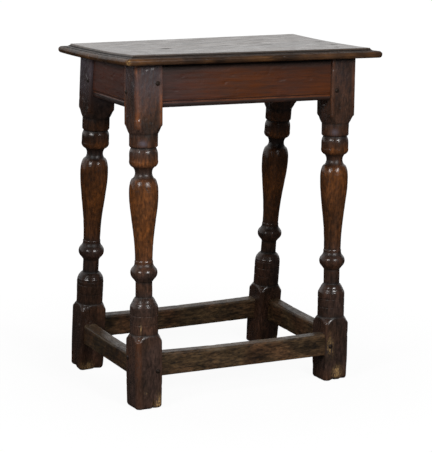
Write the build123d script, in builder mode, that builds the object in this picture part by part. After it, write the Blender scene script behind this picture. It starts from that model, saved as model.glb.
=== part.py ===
from build123d import *
import os
from math import asin, cos, degrees, radians, sin, sqrt, tan

# Joint stool of turned oak, in millimetres. X runs along the seat, Y from front to back and Z up,
# and the origin is on the floor under the middle of the seat. The pieces are drawn round the middle
# of the frame, and are moved there last.
# Four turned legs lean in towards each other from front to back. Aprons and stretchers are
# tenoned into their square blocks, each joint is pinned with an oak peg, and a moulded board is
# pegged down on top.

# ---- driving dimensions ------------------------------------------------------------------------

stool_height = 552.0

# Seat board
seat_length = 450.0
seat_width = 272.0
seat_thickness = 15.4
seat_cup = 2.2  # how far the middle of the board lies below its long edges
seat_corner_radius = 8.5
seat_corner_margin = 1.0  # how far the rounding of the corners is drawn outside the edges

# Moulding round the seat, measured in from the edge and down from the top
arris_inset = 16.1
step_drop = 1.7
cove_inset = 9.2
cove_drop = 4.4
cove_hollow = 0.8
fillet_inset = 7.8
quirk_inset = 7.3
quirk_drop = 6.4
crown_inset = 4.6  # the top of the rounded nose
crown_drop = 4.7
nose_drop = 9.9  # where the nose reaches the edge
nose_undercut = 4.4
underside_inset = 8.0

# Frame
end_overhang = 31.0  # of the seat past the outer faces of the legs
side_overhang = 29.0  # the same at the front and back, at the tops of the legs
seat_shift_x = 4.5  # the board was pegged down this far off the middle of the frame
seat_shift_y = 2.0
leg_cant = 2.9  # degrees that each leg leans in from front or back
leg_stock = 45.0
leg_arris_radius = 2.2
foot_round = 6.0
pommel_height = 27.5  # of the turned shoulders of both blocks

# Upper part of a turned leg, radii and drops below the end of the upper block
upper_block_length = 105.3
upper_pommel_bulge = 1.4
drum_radius = 21.9
drum_groove_drop = 19.7
drum_groove_depth = 1.3
drum_ease_drop = 6.0  # how far below the groove the second drum has its full size
drum_round_drop = 40.5
drum_round_bulge = 2.3
lip_radius = 16.6
lip_drop = 50.8
lip_quirk = 0.9
neck_radius = 13.0
neck_drop = 58.6
collar_radius = 16.4
collar_drop = 68.2
collar_step = 1.0
shoulder_radius = 20.9
shoulder_drop = 75.6
baluster_radius = 22.5
baluster_drop = 91.0
belly_radius = 19.6
belly_part = 0.33  # of the way down from the widest line to the foot of the baluster
taper_radius = 15.1
taper_part = 0.68
baluster_foot_radius = 13.5

# Lower part, radii and distances above or below the middle of the ring
ring_radius = 20.9
ring_edge_radius = 17.4
ring_half_height = 8.4
ring_quirk = 0.9
ring_cove_rise = 18.2
ring_cove_hollow = 1.0
ring_seat_drop = 13.0
stem_radius = 12.9
stem_drop = 38.5
dome_lip_radius = 13.9
dome_bulge_radius = 19.6
dome_bulge_drop = 46.5
dome_drop = 55.5
scored_line_rises = (31.0, 17.0)  # above the lower block
scored_line_depth = 0.7
scored_line_width = 2.0
lower_pommel_bulge = 3.2

# Each leg was turned by eye, so its ring and its lower block end at heights of their own
ring_levels = {"front_left": 214.5, "front_right": 201.5, "back_left": 204.0, "back_right": 205.5}
block_levels = {"front_left": 118.0, "front_right": 108.0, "back_left": 115.0, "back_right": 112.0}

# Rails
rail_set_back = 5.0
rail_thickness = 22.0
frame_apron_height = 66.1
end_apron_height = 70.5
stretcher_level = 48.0
frame_stretcher_height = 42.0
end_stretcher_height = 45.0
stretcher_worn_radius = 3.0

# Moulding scratched along the foot of each apron, heights above its lower edge
scratch_height = 11.6
scratch_step_depth = 1.0
scratch_step_height = 10.8
scratch_fillet_depth = 0.4
scratch_fillet_height = 9.8
scratch_quirk_depth = 1.6
scratch_quirk_height = 9.0
bead_height = 7.9
bead_set_back = 0.2

# Mortise and tenon joints
tenon_thickness = 8.0
tenon_length = 21.0
tenon_clearance = 0.1
apron_tenon_bottom_drop = 60.0  # below the top of the frame
apron_tenon_top_drop = 16.0
stretcher_tenon_bottom = 52.0
stretcher_tenon_top = 86.0

# Pegs
peg_radius = 3.8
peg_sides = 8
peg_clearance = 0.1
peg_length = 33.0
peg_proud = 0.6
peg_from_shoulder = 9.0
peg_high_drop = 28.0  # below the top of the frame
peg_middle_drop = 44.0
peg_low_drop = 51.0
frame_stretcher_peg_level = 61.0
end_stretcher_peg_level = 77.0
seat_peg_radius = 4.4
seat_peg_depth = 12.5
seat_peg_sunk = 0.3

# The seat's holes were bored by eye too, this far off the middle of each leg along X and Y
seat_peg_shifts = {
    "front_left": (9.8, 7.4),
    "front_right": (-0.8, -1.0),
    "back_left": (-3.0, 4.0),
    "back_right": (11.0, 4.4),
}

# ---- worked out from them ----------------------------------------------------------------------

frame_top = stool_height - seat_cup - seat_thickness  # where the middle of the board rests
frame_length = seat_length - 2 * end_overhang  # over the outer faces of the legs
frame_top_width = seat_width - 2 * side_overhang  # the same from front to back, at their tops
half_length = frame_length / 2
leg_depth = leg_stock / cos(radians(leg_cant))  # of the canted leg, measured level
leg_corner = leg_stock / sqrt(2)
foot_trim = foot_round  # cut off again below the floor
tenon_inset = (rail_thickness - tenon_thickness) / 2
apron_tenon = (frame_top - apron_tenon_bottom_drop, frame_top - apron_tenon_top_drop)
stretcher_tenon = (stretcher_tenon_bottom, stretcher_tenon_top)

# Each leg with its place, -1 or 1 along X and Y, and the two sides of the frame that it joins
legs = {
    "front_left": (-1, -1, "front", "left"),
    "front_right": (1, -1, "front", "right"),
    "back_left": (-1, 1, "back", "left"),
    "back_right": (1, 1, "back", "right"),
}


def half_depth(height):
    """Half the depth of the frame over the legs' outer faces, at a height."""
    return frame_top_width / 2 + (frame_top - height) * tan(radians(leg_cant))


# ---- the four sides of the frame ---------------------------------------------------------------


def rail_face(side):
    """Outer face of a side's rails, from the floor up: x along the rail, y up it, z outwards."""
    out = cos(radians(leg_cant))
    up = sin(radians(leg_cant))
    if side == "front":
        face = Plane(origin=(0, -half_depth(0), 0), x_dir=(1, 0, 0), z_dir=(0, -out, up))
    elif side == "back":
        face = Plane(origin=(0, half_depth(0), 0), x_dir=(-1, 0, 0), z_dir=(0, out, up))
    elif side == "left":
        face = Plane(origin=(-half_length, 0, 0), x_dir=(0, -1, 0), z_dir=(-1, 0, 0))
    else:
        face = Plane(origin=(half_length, 0, 0), x_dir=(0, 1, 0), z_dir=(1, 0, 0))
    return face.offset(-rail_set_back)


def rail_point(side, height, reach):
    """Point on a rail's outer face at a height, reach past the shoulder on its +x end."""
    if side in ("front", "back"):
        return (half_length - leg_stock + reach, height / cos(radians(leg_cant)))
    return (half_depth(height) - leg_depth + reach, height)


def elevation(side, bottom, top, reach=0.0, inward=0.0):
    """Outline of a rail between two heights, seen square on, and reach past its shoulders."""
    low_x, low_y = rail_point(side, bottom, reach)
    high_x, high_y = rail_point(side, top, reach)
    with BuildSketch(rail_face(side).offset(-inward)) as outline:
        with BuildLine():
            Polyline((-low_x, low_y), (low_x, low_y), (high_x, high_y), (-high_x, high_y), close=True)
        make_face()
    return outline.sketch


def tenon_bar(side, tenon, clearance=0.0):
    """Both tenons of a rail as one bar. With a clearance it is the room of their mortises."""
    bottom, top = tenon
    reach = tenon_length + clearance
    outline = elevation(side, bottom - clearance, top + clearance, reach, tenon_inset - clearance)
    with BuildPart() as bar:
        extrude(outline, amount=-(tenon_thickness + 2 * clearance))
    return bar.part


# ---- pegs --------------------------------------------------------------------------------------


def joint_peg(leg, side, height):
    """Plane on a leg's outer face where the peg of one of its joints enters, z outwards."""
    side_x, side_y = legs[leg][:2]
    face = rail_face(side).offset(rail_set_back)
    across, up = rail_point(side, height, peg_from_shoulder)
    end = face.x_dir.dot(Vector(side_x, side_y, 0))
    return Plane(origin=face.from_local_coords((end * across, up, 0)), z_dir=face.z_dir)


def apron_peg_planes(leg):
    """The pegs of a leg's two apron joints, which pass each other at different heights."""
    frame_side, end_side = legs[leg][2:]
    frame_drop, end_drop = peg_high_drop, peg_middle_drop
    if end_side == "right":
        frame_drop, end_drop = peg_low_drop, peg_high_drop
    return [
        joint_peg(leg, frame_side, frame_top - frame_drop),
        joint_peg(leg, end_side, frame_top - end_drop),
    ]


def stretcher_peg_planes(leg):
    """The pegs of a leg's two stretcher joints."""
    frame_side, end_side = legs[leg][2:]
    return [
        joint_peg(leg, frame_side, frame_stretcher_peg_level),
        joint_peg(leg, end_side, end_stretcher_peg_level),
    ]


def seat_peg_plane(leg):
    """Top of the leg, where the seat's peg goes in."""
    side_x, side_y = legs[leg][:2]
    shift_x, shift_y = seat_peg_shifts[leg]
    across = side_x * (half_length - leg_stock / 2) + shift_x
    along = side_y * (half_depth(frame_top) - leg_depth / 2) + shift_y
    return Plane(origin=(across, along, frame_top))


def make_peg_holes(planes):
    """Round holes for the pegs of some joints."""
    with BuildPart() as holes:
        for plane in planes:
            with BuildSketch(plane.offset(peg_proud)):
                Circle(peg_radius + peg_clearance)
            extrude(amount=-(peg_proud + peg_length + peg_clearance))
    return holes.part


def make_pegs(planes):
    """Riven pegs, whittled to eight sides, with their heads a little proud of the leg."""
    with BuildPart() as pegs:
        for plane in planes:
            with BuildSketch(plane.offset(peg_proud)):
                RegularPolygon(peg_radius, peg_sides)
            extrude(amount=-(peg_proud + peg_length))
    return pegs.part


def make_seat_peg_holes():
    """Holes through the board and into the tops of the legs."""
    with BuildPart() as holes:
        for leg in legs:
            with BuildSketch(seat_peg_plane(leg).offset(-seat_peg_depth - peg_clearance)):
                Circle(seat_peg_radius + peg_clearance)
            extrude(amount=stool_height - frame_top + seat_peg_depth + peg_clearance)
    return holes.part


def make_seat_pegs():
    """The pegs that hold the board down."""
    with BuildPart() as pegs:
        for leg in legs:
            hole = seat_peg_plane(leg)
            top = cupped_top(hole.origin.Y - seat_shift_y) - seat_peg_sunk
            with BuildSketch(hole.offset(-seat_peg_depth)):
                RegularPolygon(seat_peg_radius, peg_sides)
            extrude(amount=top - frame_top + seat_peg_depth)
    return pegs.part


# ---- seat board --------------------------------------------------------------------------------


def cupped_top(along):
    """Height of the seat's top at a distance from its long middle line."""
    return stool_height - seat_cup * (1 - (2 * along / seat_width) ** 2)


def board_section(plane, half, top, lift):
    """Section of the board with a moulded edge at each side.

    half is half the board's size across the section and top gives the height of its top there.
    Between the arrises the section is drawn lift above the top, and lift below the underside.
    """
    upward = (0, 1)
    downward = (0, -1)
    with BuildSketch(plane) as section:
        with BuildLine():
            for side in (-1, 1):

                def at(inset, drop):
                    return (side * (half - inset), top(half - inset) - drop)

                cove_middle = (arris_inset + cove_inset) / 2
                cove_depth = (step_drop + cove_drop) / 2 + cove_hollow
                Line(at(arris_inset, -lift), at(arris_inset, step_drop))
                ThreePointArc(
                    at(arris_inset, step_drop),
                    at(cove_middle, cove_depth),
                    at(cove_inset, cove_drop),
                )
                Line(at(cove_inset, cove_drop), at(fillet_inset, cove_drop))
                Line(at(fillet_inset, cove_drop), at(quirk_inset, quirk_drop))
                TangentArc(at(0, nose_drop), at(crown_inset, crown_drop), tangent=upward)
                TangentArc(at(crown_inset, crown_drop), at(quirk_inset, quirk_drop), tangent=(-side, 0))
                TangentArc(at(0, nose_drop), at(nose_undercut, seat_thickness), tangent=downward)
                Line(at(nose_undercut, seat_thickness), at(underside_inset, seat_thickness + lift))
            arris = half - arris_inset
            foot = half - underside_inset
            underside = top(foot) - seat_thickness - lift
            Line((-arris, top(arris) + lift), (arris, top(arris) + lift))
            Line((-foot, underside), (foot, underside))
        make_face()
    return section.sketch


def make_plank():
    """Solid board over the origin with a mitred moulding all round, cupped across its width."""
    reach = seat_width / 2 + seat_thickness
    rise = cupped_top(reach) - cupped_top(0)
    cup_radius = (reach**2 + rise**2) / (2 * rise)
    turn = asin(reach / cup_radius)
    across = Plane(
        origin=(0, -reach, cupped_top(reach)),
        x_dir=(1, 0, 0),
        z_dir=(0, -cos(turn), sin(turn)),
    )
    end_section = board_section(across, seat_length / 2, lambda along: 0, 0)
    cup_axis = Axis((0, 0, cupped_top(0) + cup_radius), (1, 0, 0))
    along = Plane.YZ.offset(-seat_length)
    long_section = board_section(along, seat_width / 2, cupped_top, seat_thickness)
    with BuildPart() as plank:
        revolve(end_section, axis=cup_axis, revolution_arc=degrees(2 * turn))
        extrude(long_section, amount=2 * seat_length, mode=Mode.INTERSECT)
        with BuildSketch(Plane.XY.offset(frame_top)):
            RectangleRounded(
                seat_length + 2 * seat_corner_margin,
                seat_width + 2 * seat_corner_margin,
                seat_corner_radius,
            )
        extrude(amount=2 * seat_thickness, mode=Mode.INTERSECT)
    return plank.part


def make_seat_board():
    """The board on the frame. There its underside is flat, so that it beds on the legs and aprons."""
    plank = Pos(seat_shift_x, seat_shift_y) * make_plank()
    holes = make_seat_peg_holes()
    with BuildPart() as board:
        add(plank)
        with BuildSketch(Plane.XY.offset(frame_top)):
            Rectangle(frame_length, frame_top_width)
        extrude(amount=seat_thickness / 2)
        add(holes, mode=Mode.SUBTRACT)
    return board.part


# ---- legs --------------------------------------------------------------------------------------


def leg_axis_plane(leg):
    """Plane through a leg's axis: x away from the axis along the stool, y up the leg."""
    side_x, side_y, frame_side = legs[leg][:3]
    middle = rail_face(frame_side).offset(rail_set_back - leg_stock / 2)
    across = middle.x_dir.X * side_x * (half_length - leg_stock / 2)
    return Plane(origin=middle.from_local_coords((across, 0, 0)), x_dir=middle.x_dir, z_dir=middle.z_dir)


def leg_outline(plane, ring, block):
    """Half section of a turned leg, drawn from its top down to its foot.

    ring is the height of the middle of its ring and block that of the top of its lower block.
    """
    drum = frame_top - upper_block_length
    top = stool_height + leg_stock
    groove = drum - drum_groove_drop
    scored_lines = []
    for rise in scored_line_rises:
        scored_lines += [
            (drum_radius, block + rise + scored_line_width / 2),
            (drum_radius - scored_line_depth, block + rise),
            (drum_radius, block + rise - scored_line_width / 2),
        ]
    widest = drum - baluster_drop
    foot = ring + ring_cove_rise + ring_quirk
    with BuildSketch(plane) as outline:
        with BuildLine():
            # square block and its pommel
            Polyline((0, -foot_trim), (0, top), (leg_corner, top), (leg_corner, drum + pommel_height))
            SagittaArc((leg_corner, drum + pommel_height), (drum_radius, drum), upper_pommel_bulge)
            # two drums with a groove between
            Polyline(
                (drum_radius, drum),
                (drum_radius, groove + drum_groove_depth),
                (drum_radius - drum_groove_depth, groove),
            )
            TangentArc(
                (drum_radius, groove - drum_ease_drop),
                (drum_radius - drum_groove_depth, groove),
                tangent=(0, 1),
            )
            Line((drum_radius, groove - drum_ease_drop), (drum_radius, drum - drum_round_drop))
            SagittaArc(
                (drum_radius, drum - drum_round_drop),
                (lip_radius, drum - lip_drop),
                drum_round_bulge,
            )
            # neck
            Line((lip_radius, drum - lip_drop), (lip_radius - lip_quirk, drum - lip_drop - lip_quirk))
            ThreePointArc(
                (lip_radius - lip_quirk, drum - lip_drop - lip_quirk),
                (neck_radius, drum - neck_drop),
                (collar_radius, drum - collar_drop),
            )
            Line((collar_radius, drum - collar_drop), (collar_radius + collar_step, drum - collar_drop))
            # baluster
            Spline(
                (collar_radius + collar_step, drum - collar_drop),
                (shoulder_radius, drum - shoulder_drop),
                (baluster_radius, widest),
                tangents=((1, -1), (0, -1)),
            )
            Spline(
                (baluster_radius, widest),
                (belly_radius, widest + belly_part * (foot - widest)),
                (taper_radius, widest + taper_part * (foot - widest)),
                (baluster_foot_radius, foot),
                tangents=((0, -1), (0, -1)),
            )
            # ring, with a cove above it
            Line(
                (baluster_foot_radius, foot),
                (baluster_foot_radius + ring_quirk, ring + ring_cove_rise),
            )
            SagittaArc(
                (baluster_foot_radius + ring_quirk, ring + ring_cove_rise),
                (ring_edge_radius - ring_quirk, ring + ring_half_height + ring_quirk),
                -ring_cove_hollow,
            )
            Line(
                (ring_edge_radius - ring_quirk, ring + ring_half_height + ring_quirk),
                (ring_edge_radius, ring + ring_half_height),
            )
            ThreePointArc(
                (ring_edge_radius, ring + ring_half_height),
                (ring_radius, ring),
                (ring_edge_radius, ring - ring_half_height),
            )
            # stem and the dome of the lower drum
            Polyline(
                (ring_edge_radius, ring - ring_half_height),
                (ring_edge_radius - ring_quirk, ring - ring_half_height - ring_quirk),
                (stem_radius + ring_quirk, ring - ring_seat_drop),
                (stem_radius, ring - ring_seat_drop - ring_quirk),
                (stem_radius, ring - stem_drop),
                (dome_lip_radius, ring - stem_drop),
            )
            ThreePointArc(
                (dome_lip_radius, ring - stem_drop),
                (dome_bulge_radius, ring - dome_bulge_drop),
                (drum_radius, ring - dome_drop),
            )
            # lower drum with scored lines, pommel and square foot
            Polyline((drum_radius, ring - dome_drop), *scored_lines, (drum_radius, block))
            SagittaArc((drum_radius, block), (leg_corner, block - pommel_height), lower_pommel_bulge)
            Polyline((leg_corner, block - pommel_height), (leg_corner, -foot_trim), (0, -foot_trim))
        make_face()
    return outline.sketch


def make_leg(leg):
    """Turned leg with its two blocks left square, mortised and bored for its pegs."""
    frame_side, end_side = legs[leg][2:]
    plane = leg_axis_plane(leg)
    across = Plane(origin=plane.origin, x_dir=plane.x_dir, z_dir=plane.y_dir)
    outline = leg_outline(plane, ring_levels[leg], block_levels[leg])
    mortises = [
        tenon_bar(side, tenon, tenon_clearance)
        for side in (frame_side, end_side)
        for tenon in (apron_tenon, stretcher_tenon)
    ]
    holes = [
        make_peg_holes(apron_peg_planes(leg) + stretcher_peg_planes(leg)),
        make_seat_peg_holes(),
    ]
    with BuildPart() as turned:
        revolve(outline, axis=Axis(plane.origin, plane.y_dir))
        with BuildSketch(across.offset(-foot_trim)):
            RectangleRounded(leg_stock, leg_stock, leg_arris_radius)
        extrude(amount=stool_height + leg_stock, mode=Mode.INTERSECT)
        split(bisect_by=Plane.XY.offset(frame_top), keep=Keep.BOTTOM)
        split(bisect_by=Plane.XY, keep=Keep.TOP)
        fillet(turned.faces().sort_by(Axis.Z)[0].edges(), radius=foot_round)
        for tool in mortises + holes:
            add(tool, mode=Mode.SUBTRACT)
    return turned.part


# ---- aprons and stretchers ---------------------------------------------------------------------


def scratch_section(side, bottom):
    """Section of what the scratch stock cut from the foot of an apron: x inwards, y upwards."""
    face = rail_face(side)
    up = rail_point(side, bottom, 0)[1]
    plane = Plane(
        origin=face.from_local_coords((0, up, 0)),
        x_dir=-face.z_dir,
        z_dir=face.x_dir,
    )
    with BuildSketch(plane) as section:
        with BuildLine():
            Polyline(
                (scratch_quirk_depth, 0),
                (-scratch_quirk_depth, 0),
                (-scratch_quirk_depth, scratch_height),
                (0, scratch_height),
                (scratch_step_depth, scratch_step_height),
                (scratch_fillet_depth, scratch_fillet_height),
                (scratch_quirk_depth, scratch_quirk_height),
                (scratch_quirk_depth, bead_height),
            )
            ThreePointArc(
                (scratch_quirk_depth, bead_height),
                (bead_set_back, bead_height / 2),
                (scratch_quirk_depth, 0),
            )
        make_face()
    return section.sketch


def side_pegs(side, peg_planes):
    """The pegs of a rail's two joints, from the lists of pegs of its two legs."""
    planes = []
    for leg in legs:
        if side == legs[leg][2]:
            planes.append(peg_planes(leg)[0])
        if side == legs[leg][3]:
            planes.append(peg_planes(leg)[1])
    return planes


def make_apron(side, height):
    """Rail under the seat with a scratched moulding, tenoned at both ends and bored for pegs."""
    bottom = frame_top - height
    body = elevation(side, bottom, frame_top)
    tenons = tenon_bar(side, apron_tenon)
    moulding = scratch_section(side, bottom)
    holes = make_peg_holes(side_pegs(side, apron_peg_planes))
    with BuildPart() as apron:
        extrude(body, amount=-rail_thickness)
        extrude(moulding, amount=frame_length, both=True, mode=Mode.SUBTRACT)
        add(tenons)
        add(holes, mode=Mode.SUBTRACT)
    return apron.part


def make_stretcher(side, height):
    """Plain rail near the floor, its upper edges worn by feet, tenoned and bored for pegs."""
    body = elevation(side, stretcher_level, stretcher_level + height)
    tenons = tenon_bar(side, stretcher_tenon)
    holes = make_peg_holes(side_pegs(side, stretcher_peg_planes))
    along = Axis((0, 0, 0), rail_face(side).x_dir)
    with BuildPart() as stretcher:
        extrude(body, amount=-rail_thickness)
        worn = stretcher.edges().filter_by(along).sort_by(Axis.Z)[-2:]
        fillet(worn, radius=stretcher_worn_radius)
        add(tenons)
        add(holes, mode=Mode.SUBTRACT)
    return stretcher.part


# ---- the stool ---------------------------------------------------------------------------------


def make_stool():
    """Every piece of the stool by name."""
    pieces = {"seat_board": make_seat_board(), "seat_pegs": make_seat_pegs()}
    for leg in legs:
        pieces["leg_" + leg] = make_leg(leg)
        pieces["apron_pegs_" + leg] = make_pegs(apron_peg_planes(leg))
        pieces["stretcher_pegs_" + leg] = make_pegs(stretcher_peg_planes(leg))
    for side in ("front", "back"):
        pieces["apron_" + side] = make_apron(side, frame_apron_height)
        pieces["stretcher_" + side] = make_stretcher(side, frame_stretcher_height)
    for side in ("left", "right"):
        pieces["apron_" + side] = make_apron(side, end_apron_height)
        pieces["stretcher_" + side] = make_stretcher(side, end_stretcher_height)
    return pieces


os.makedirs("parts", exist_ok=True)
for name, piece in make_stool().items():
    placed = Pos(-seat_shift_x, -seat_shift_y) * piece
    placed.label = name
    export_step(placed, "parts/" + name + ".step")
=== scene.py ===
from math import cos, pi, radians, sin, tan, tau

import bmesh
import bpy
import numpy as np
from mathutils import Matrix, Vector, noise
from mathutils.bvhtree import BVHTree


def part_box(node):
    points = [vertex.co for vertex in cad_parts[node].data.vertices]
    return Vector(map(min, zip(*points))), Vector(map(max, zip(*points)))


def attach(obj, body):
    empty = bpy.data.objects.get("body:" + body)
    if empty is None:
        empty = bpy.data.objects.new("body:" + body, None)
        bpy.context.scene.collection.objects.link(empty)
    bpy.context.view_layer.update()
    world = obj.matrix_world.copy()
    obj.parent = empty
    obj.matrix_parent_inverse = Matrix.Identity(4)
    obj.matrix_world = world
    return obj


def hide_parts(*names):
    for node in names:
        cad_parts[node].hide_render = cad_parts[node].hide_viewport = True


# Joint stool of old oak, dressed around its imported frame. Everything is in metres, in the frame's own axes:
# X along the seat, Y from front to back and Z up from the floor. Every CAD node is replaced by a worn copy,
# which takes its outline from the node and then loses a little along its edges, as three centuries of feet
# and hands have worn the real one. The tables of single marks and levels are in millimetres and degrees.

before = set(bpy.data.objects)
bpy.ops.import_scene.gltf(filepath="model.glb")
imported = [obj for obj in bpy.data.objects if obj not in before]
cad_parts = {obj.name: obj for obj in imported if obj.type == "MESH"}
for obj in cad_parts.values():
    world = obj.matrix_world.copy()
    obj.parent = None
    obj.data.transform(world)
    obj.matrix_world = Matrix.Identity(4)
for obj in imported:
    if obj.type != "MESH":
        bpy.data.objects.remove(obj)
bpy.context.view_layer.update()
MM = 0.001

# The side on which each leg stands, along X and along Y
LEGS = {"front_left": (-1, -1), "front_right": (1, -1), "back_left": (-1, 1), "back_right": (1, 1)}
LEG_CANT = radians(2.9)  # every foot stands this far out towards the front or the back
LEG_STOCK = 45 * MM
SEAT_LOW, SEAT_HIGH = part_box("seat_board")
FRAME_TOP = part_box("leg_back_left")[1].z

# The left end of the board has sunk, most of all at the back, and the top of the frame has gone with it
SINK_LEFT = 4.9 * MM
SINK_MORE_AT_BACK = 3.9 * MM
SINK_FROM = 0.470

# The frame has racked: how far each foot has gone along X and Y, which falls to nothing at the top of the
# leg. The whole front right leg has spread outwards too.
RACKED = {
    "front_left": (-1.4, -0.7),
    "front_right": (-1.2, 4.8),
    "back_left": (-4.2, -1.5),
    "back_right": (-6.9, 0.9),
}
SPREAD_RIGHT_FRONT = 1.5 * MM

# How far the faces of a leg's two square blocks have worn back
UPPER_BLOCK_LOST = 0.2 * MM
LOWER_BLOCK_LOST = 0.5 * MM

# ---- tools -------------------------------------------------------------------------------------------------

MERGE = 0.01 * MM  # vertices of a new piece that are closer than this become one
MERGE_PACKED = 0.001 * MM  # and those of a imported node
CUT_TOLERANCE = 1e-7
SEED_SHIFT = (3.17, 1.31, 7.77)  # how far apart the noise of two seeds is read


def new_piece(name, vertices, faces):
    """Smooth mesh object from vertices and faces."""
    mesh = bpy.data.meshes.new(name)
    mesh.from_pydata([tuple(v) for v in vertices], [], [tuple(f) for f in faces])
    shell = bmesh.new()
    shell.from_mesh(mesh)
    bmesh.ops.remove_doubles(shell, verts=shell.verts, dist=MERGE)
    bmesh.ops.recalc_face_normals(shell, faces=shell.faces)
    shell.to_mesh(mesh)
    shell.free()
    mesh.polygons.foreach_set("use_smooth", [True] * len(mesh.polygons))
    mesh.update()
    piece = bpy.data.objects.new(name, mesh)
    bpy.context.scene.collection.objects.link(piece)
    return piece


def vertex_places(piece):
    """Places of a piece's vertices as an array."""
    return np.array([v.co for v in piece.data.vertices])


def grid_faces(rows, columns, closed=True):
    """Faces between rows of points that follow each other, each row a closed loop or an open line."""
    faces = []
    last = columns if closed else columns - 1
    for i in range(rows - 1):
        for j in range(last):
            k = (j + 1) % columns
            faces.append((i * columns + j, i * columns + k, (i + 1) * columns + k, (i + 1) * columns + j))
    return faces


def capped_tube(name, loops, begin, end):
    """Piece with its wall through a row of closed loops, and a fan of triangles round a point at each end."""
    rows, columns = loops.shape[:2]
    vertices = [*loops.reshape(-1, 3), begin, end]
    faces = grid_faces(rows, columns)
    last = (rows - 1) * columns
    for j in range(columns):
        k = (j + 1) % columns
        faces.append((len(vertices) - 2, k, j))
        faces.append((len(vertices) - 1, last + j, last + k))
    return new_piece(name, vertices, faces)


def wander(points, size, seed):
    """Smooth noise between about -1 and 1 at some points, with features of a size in metres."""
    shift = Vector([seed * amount for amount in SEED_SHIFT])
    flat = np.asarray(points).reshape(-1, 3)
    found = [noise.noise(Vector(p) / size + shift) for p in flat]
    return np.array(found).reshape(np.asarray(points).shape[:-1])


def step(low, high, value):
    """0 below low, 1 above high and smooth between."""
    t = np.clip((np.asarray(value, float) - low) / (high - low), 0, 1)
    return t * t * (3 - 2 * t)


def weathering(points, sizes, dented, seed):
    """Slow waves, quick waves and dents of a surface, each by its size. A dent deepens between two levels."""
    slow, quick, dents = (wander(points, size, seed + k) for k, size in enumerate(sizes))
    return slow, quick, step(*dented, dents)


def bell(value, middle, width):
    """1 at the middle, falling to nothing over a width on both sides."""
    return np.exp(-(((np.asarray(value) - middle) / width) ** 2))


def smooth_smaller(a, b, blend):
    """The smaller of two lengths, rounded over a blend where they meet."""
    return -blend * np.log(np.exp(-a / blend) + np.exp(-b / blend))


def packed_surface(node):
    """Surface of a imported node, for rays to hit."""
    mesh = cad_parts[node].data
    return BVHTree.FromPolygons([v.co for v in mesh.vertices], [p.vertices for p in mesh.polygons])


def section(node, place, normal):
    """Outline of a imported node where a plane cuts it, as an ordered loop of points."""
    cut = bmesh.new()
    cut.from_mesh(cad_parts[node].data)
    bmesh.ops.remove_doubles(cut, verts=cut.verts, dist=MERGE_PACKED)
    whole = cut.verts[:] + cut.edges[:] + cut.faces[:]
    made = bmesh.ops.bisect_plane(cut, geom=whole, plane_co=place, plane_no=normal, dist=CUT_TOLERANCE)
    links = {}
    for edge in made["geom_cut"]:
        if isinstance(edge, bmesh.types.BMEdge):
            a, b = edge.verts
            links.setdefault(a, []).append(b)
            links.setdefault(b, []).append(a)
    loops = []
    left = dict.fromkeys(links)  # in the order of the cut, so that the loop starts alike in each run
    while left:
        loop = []
        ahead = list(left)
        while ahead:
            here = ahead[0]
            del left[here]
            loop.append(here)
            ahead = [v for v in links[here] if v in left]
        loops.append([v.co.copy() for v in loop])
    cut.free()
    return max(loops, key=len)


def resample(loop, pitch):
    """The same closed loop with evenly spaced points."""
    points = np.array([tuple(p) for p in loop])
    around = np.vstack([points, points[:1]])
    lengths = np.linalg.norm(np.diff(around, axis=0), axis=1)
    ends = np.concatenate([[0], np.cumsum(lengths)])
    stops = np.linspace(0, ends[-1], max(12, int(ends[-1] / pitch)), endpoint=False)
    return np.stack([np.interp(stops, ends, around[:, k]) for k in range(3)], axis=1)


def relaxed(loop, times):
    """A closed loop with its corners rounded, which is where wood wears first."""
    soft = loop.copy()
    for _ in range(times):
        soft = (np.roll(soft, 1, 0) + 2 * soft + np.roll(soft, -1, 0)) / 4
    return soft


def aged(points):
    """Points of the straight stool as they are on the old one, whose board has sunk and whose legs lean."""
    moved = points.copy()
    x, y, z = points[..., 0], points[..., 1], points[..., 2]
    to_left = (SEAT_HIGH.x - x) / (SEAT_HIGH.x - SEAT_LOW.x)
    sunk = to_left * (SINK_LEFT + SINK_MORE_AT_BACK * y / SEAT_HIGH.y)
    moved[..., 2] -= sunk * step(SINK_FROM, FRAME_TOP, z)

    low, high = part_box("leg_front_left")[0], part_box("leg_back_right")[1]
    to_right = np.clip((x - low.x) / (high.x - low.x), 0, 1)
    to_back = np.clip((y - low.y) / (high.y - low.y), 0, 1)
    down = np.clip(1 - z / FRAME_TOP, 0, 1)
    for leg, (side_x, side_y) in LEGS.items():
        near = (to_right if side_x > 0 else 1 - to_right) * (to_back if side_y > 0 else 1 - to_back)
        for axis, racked in enumerate(RACKED[leg]):
            moved[..., axis] += racked * MM * near * down
    in_frame = z < FRAME_TOP + 0.5 * MM
    moved[..., 0] += SPREAD_RIGHT_FRONT * to_right * (1 - to_back) * in_frame
    return moved


# ---- legs --------------------------------------------------------------------------------------------------

LEG_RING_PITCH = 1.0 * MM
LEG_AROUND = 144
BLOCK_REACH = (27 * MM, 30.6 * MM)  # a leg this wide on its diagonal goes over into a square block
OUT_OF_ROUND = 0.006  # share of the radius
TOOL_MARK_PITCH, TOOL_MARK_DEPTH = 2.6 * MM, 0.07 * MM

# Sizes of a leg's slow waves, quick waves and dents, the levels at which a dent begins and is full, and the
# depth of a full one
LEG_WAVES = (26 * MM, 7 * MM, 11 * MM)
LEG_DENTED = (0.34, 0.62)
LEG_DENT_DEPTH = 0.36 * MM

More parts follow.
